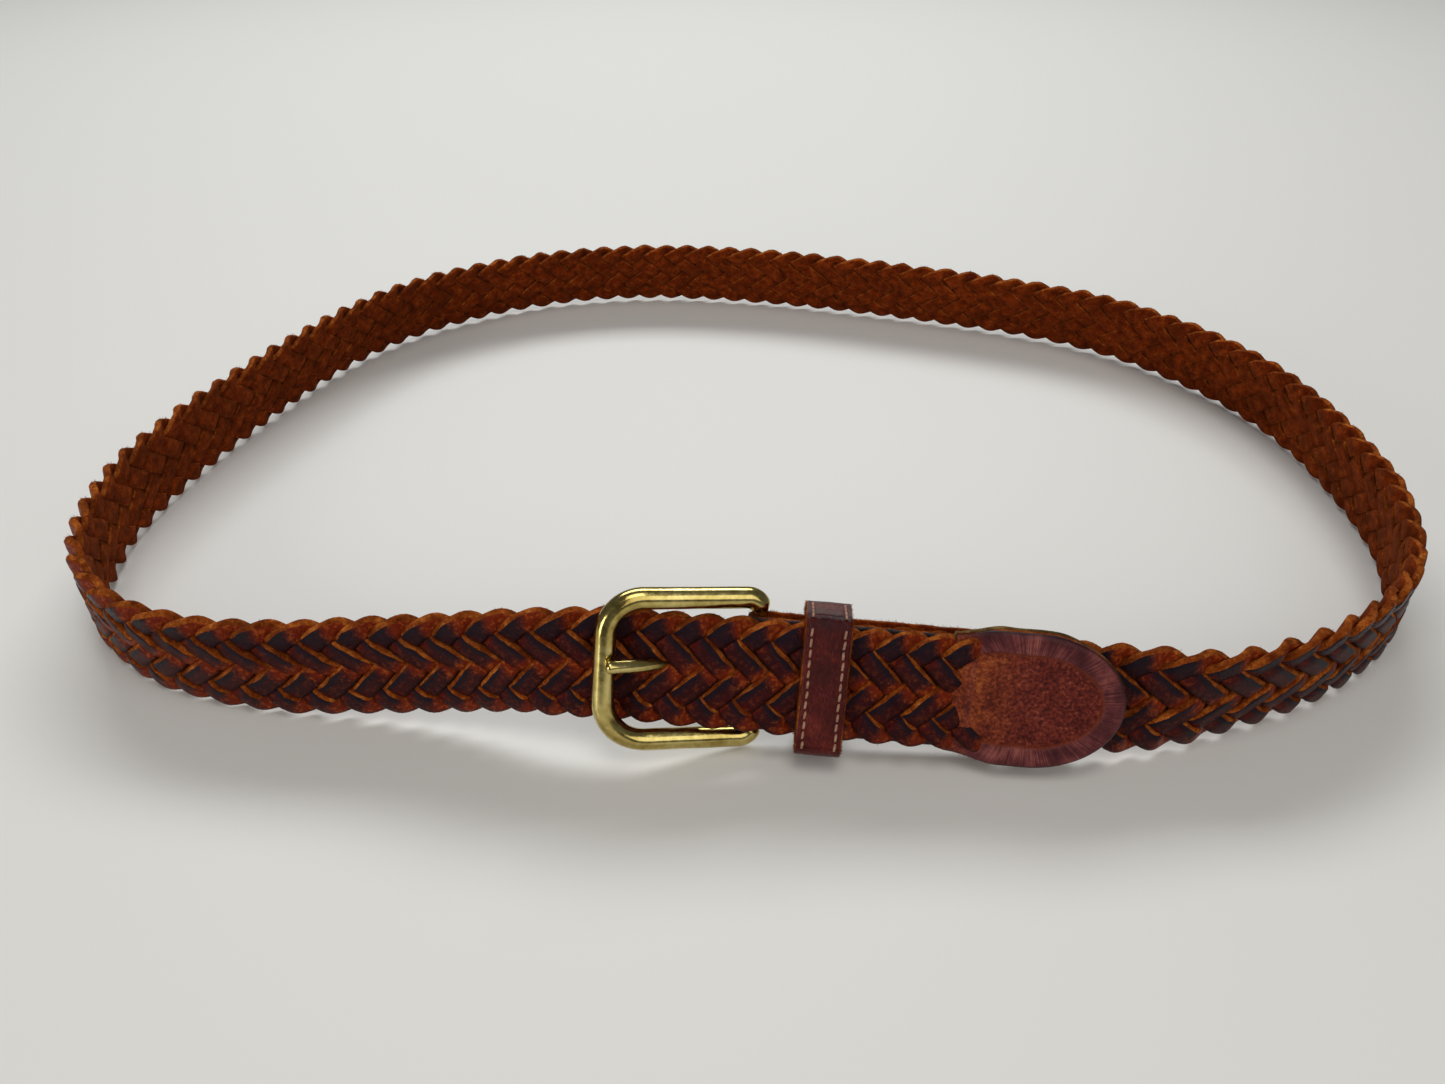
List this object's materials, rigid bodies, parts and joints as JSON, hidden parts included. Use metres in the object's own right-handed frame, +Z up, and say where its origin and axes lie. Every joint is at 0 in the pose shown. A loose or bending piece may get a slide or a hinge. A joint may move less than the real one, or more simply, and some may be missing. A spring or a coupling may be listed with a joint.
{
  "type": "plaited leather belt",
  "caption": "Plaited leather belt standing on its edge in a closed loop, with a brass frame buckle on a folded billet, a prong, a stitched keeper and an oval tip tab.",
  "frame": {"origin": "middle of the belt's footprint, on the surface that the strap's lower edge rests on", "axes": "+X along the loop's long way, from the left bend towards the tip side; +Y from the buckle towards the back of the loop; +Z up"},
  "size_m": [0.3958, 0.2896, 0.0433],
  "materials": {
    "frame_brass": "aged solid brass, soft polish with darker tarnish in the corners",
    "prong_brass": "aged solid brass, soft polish",
    "lace_leather": "oxblood grain side with dark burnished crowns, raw orange-brown cut edges and suede flesh side",
    "billet_leather": "smooth dark leather with raw edges",
    "keeper_leather": "smooth glossy reddish brown leather",
    "keeper_lining_leather": "raw suede lining",
    "tip_leather": "pebbled reddish brown centre, darker smooth raised rim",
    "tip_lining_leather": "tan backing leather with a raw cut edge",
    "thread": "waxed tan thread",
    "staple_steel": "bright wire"
  },
  "bodies": {
    "root": {"billet": "billet_leather", "billet_stitching": "thread", "keeper_outer": "keeper_leather", "keeper_lining": "keeper_lining_leather", "keeper_stitching": "thread", "keeper_staple": "staple_steel", "braid_right": "lace_leather", "braid_back": "lace_leather"},
    "left_bend": {"braid_left_bend": "lace_leather"},
    "free_end": {"braid_front_left": "lace_leather", "braid_buckle_run": "lace_leather"},
    "tip": {"tip_top": "tip_leather", "tip_lining": "tip_lining_leather"},
    "frame": {"buckle_frame": "frame_brass"},
    "prong": {"prong": "prong_brass"}
  },
  "joints": [
    {"name": "frame_pivot", "type": "hinge", "parent": "root", "child": "frame", "pos_m": [-0.00067, -0.12517, 0.0195], "axis": [0.0681, 0.3701, 0.9265], "range_deg": [0, 40]},
    {"name": "prong_pivot", "type": "hinge", "parent": "frame", "child": "prong", "pos_m": [-0.00067, -0.12517, 0.0195], "axis": [0.0681, 0.3701, 0.9265], "range_deg": [0, 80]},
    {"name": "left_bend_slide", "type": "slide", "parent": "root", "child": "left_bend", "axis": [0.9955, -0.0871, -0.0384], "range_m": [-0.012, 0]},
    {"name": "free_end_slide", "type": "slide", "parent": "left_bend", "child": "free_end", "axis": [0.9955, -0.0871, -0.0384], "range_m": [-0.012, 0]},
    {"name": "tip_lift", "type": "hinge", "parent": "free_end", "child": "tip", "pos_m": [0.04474, -0.1365, 0.02069], "axis": [-0.0681, -0.3701, -0.9265], "range_deg": [0, 30]}
  ],
  "couplings": [
    {"joint": "free_end_slide", "follows": "left_bend_slide", "ratio": 1}
  ]
}
